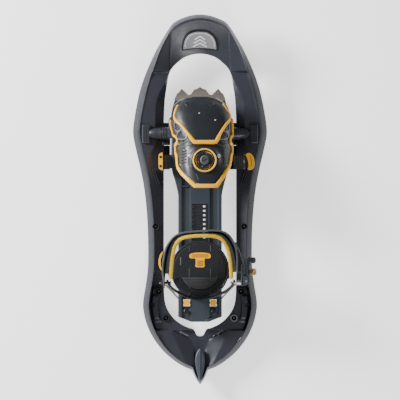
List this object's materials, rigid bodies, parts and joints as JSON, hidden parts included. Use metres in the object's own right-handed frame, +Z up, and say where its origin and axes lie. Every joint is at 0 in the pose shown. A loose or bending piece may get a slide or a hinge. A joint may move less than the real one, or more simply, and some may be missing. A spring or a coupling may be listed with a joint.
{
  "type": "snowshoe",
  "caption": "Moulded snowshoe for a right foot: a spiked oval deck around a pivoting boot plate with toe harness, sliding heel unit, ankle strap and heel-lift wire.",
  "frame": {"origin": "on the ground, under the middle of the deck's box", "axes": "+Y to the tip, +Z up, +X to the wearer's right (the buckle's side)"},
  "size_m": [0.2144, 0.5928, 0.1345],
  "materials": {
    "deck_plastic": "satin charcoal moulding",
    "plate_plastic": "satin blue-grey moulding",
    "black_plastic": "satin black moulding",
    "yellow_plastic": "semi-gloss amber yellow",
    "yellow_padding": "woven amber cover over foam",
    "strap_rubber": "matt black",
    "steel": "dull brushed",
    "badge_plastic": "satin grey, plain"
  },
  "bodies": {
    "deck": {"deck_frame": "deck_plastic", "nose_badge": "badge_plastic", "pivot_axle": "steel", "thrust_washer_left": "steel", "thrust_washer_right": "steel", "spike_front_left": "steel", "spike_front_right": "steel", "spike_middle_left": "steel", "spike_middle_right": "steel", "spike_rear_left": "steel", "spike_rear_right": "steel"},
    "binding": {"boot_plate": "plate_plastic", "length_rack": "black_plastic", "front_crampon": "steel", "toe_harness": "black_plastic", "toe_cap": "black_plastic", "instep_panel": "black_plastic", "harness_trim": "yellow_plastic", "toe_cap_trim": "yellow_plastic", "side_strap_left": "strap_rubber", "side_strap_right": "strap_rubber", "strap_tab_left": "yellow_plastic", "strap_tab_right": "yellow_plastic", "toe_grip_pad": "strap_rubber", "axle_bush_left": "black_plastic", "axle_bush_right": "black_plastic", "crampon_rivet_left": "steel", "crampon_rivet_right": "steel", "bail_bearing_left": "yellow_plastic", "bail_bearing_right": "yellow_plastic", "bearing_screw_left": "steel", "bearing_screw_right": "steel", "instep_rivet_left": "steel", "instep_rivet_right": "steel", "dial_ring": "yellow_plastic"},
    "dial": {"dial_disc": "yellow_plastic", "dial_knob": "black_plastic", "dial_screw": "black_plastic"},
    "heel_unit": {"heel_plate": "black_plastic", "heel_cup": "black_plastic", "heel_pad": "strap_rubber", "size_lever_pin": "steel"},
    "size_lever": {"size_lever": "yellow_plastic", "lock_pawl": "steel"},
    "ankle_strap": {"ankle_strap": "strap_rubber", "ankle_pad": "yellow_padding", "pull_tab_left": "yellow_plastic", "strap_rivet_left": "steel", "ladder_strap": "strap_rubber", "buckle_base": "black_plastic", "buckle_pin": "steel", "buckle_rivet": "steel"},
    "buckle_lever": {"buckle_lever": "black_plastic", "lever_grip": "strap_rubber", "release_pin": "steel"},
    "release_tab": {"release_tab": "yellow_plastic"},
    "heel_lift": {"heel_lift_bail": "steel"}
  },
  "joints": [
    {"name": "binding_pivot", "type": "hinge", "parent": "deck", "child": "binding", "pos_m": [0, 0.1065, 0.034], "axis": [-1, 0, 0], "range_deg": [0, 60]},
    {"name": "dial_turn", "type": "hinge", "parent": "binding", "child": "dial", "pos_m": [0.0074, 0.0628, 0.11895], "axis": [0, 0.1045, 0.9945], "range_deg": [0, 90]},
    {"name": "heel_slide", "type": "slide", "parent": "binding", "child": "heel_unit", "axis": [0, 1, 0], "range_m": [0, 0.056]},
    {"name": "size_lever_lift", "type": "hinge", "parent": "heel_unit", "child": "size_lever", "pos_m": [0, -0.1045, 0.0556], "axis": [1, 0, 0], "range_deg": [0, 70]},
    {"name": "ankle_strap_swing", "type": "hinge", "parent": "heel_unit", "child": "ankle_strap", "pos_m": [0, -0.1315, 0.097], "axis": [1, 0, 0], "range_deg": [-12, 45]},
    {"name": "buckle_open", "type": "hinge", "parent": "ankle_strap", "child": "buckle_lever", "pos_m": [0.0735, -0.129, 0.097], "axis": [0, 0, -1], "range_deg": [0, 80]},
    {"name": "release_press", "type": "hinge", "parent": "buckle_lever", "child": "release_tab", "pos_m": [0.085, -0.114, 0.097], "axis": [0, 0, 1], "range_deg": [0, 7], "stiffness_Nm_per_rad": 0.04},
    {"name": "heel_lift_swing", "type": "hinge", "parent": "binding", "child": "heel_lift", "pos_m": [0, -0.1644, 0.043], "axis": [-1, 0, 0], "range_deg": [0, 22]}
  ]
}
